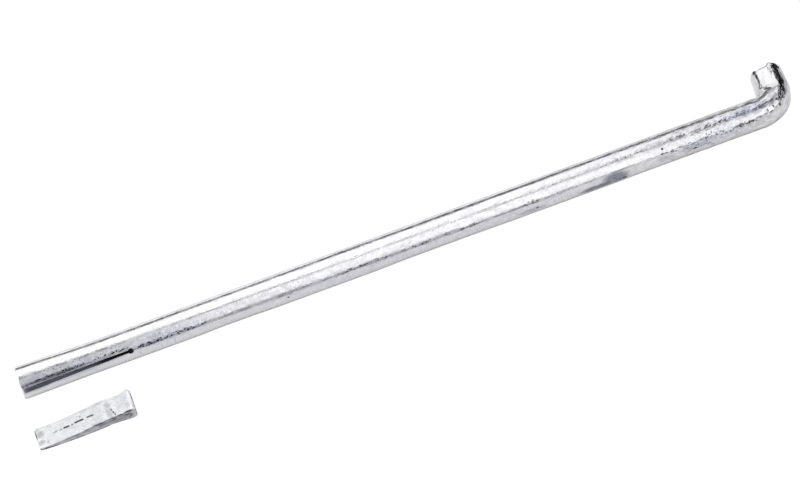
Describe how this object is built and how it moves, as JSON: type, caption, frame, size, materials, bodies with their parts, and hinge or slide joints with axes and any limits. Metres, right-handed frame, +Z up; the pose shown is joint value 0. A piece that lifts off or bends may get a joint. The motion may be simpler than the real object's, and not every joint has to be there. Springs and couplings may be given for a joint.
{
  "type": "foundation bolt",
  "caption": "Round galvanised bar bent to a short hook at one end and sawn lengthwise at the other, with the loose flat wedge that spreads the split in its hole.",
  "frame": {"origin": "centre of the split end on the bar's axis", "axes": "+X along the bar towards the hook, +Y the way the hook's leg points, +Z up; the bar and the wedge lie on the level z = -10 mm"},
  "size_m": [0.5222, 0.088, 0.02],
  "materials": {
    "zinc_bar": "hot-dip galvanised, bright, pitted towards the hook",
    "zinc_wedge": "hot-dip galvanised, matt pale"
  },
  "bodies": {
    "root": {"hooked_bar": "zinc_bar", "wedge": "zinc_wedge"}
  },
  "joints": []
}
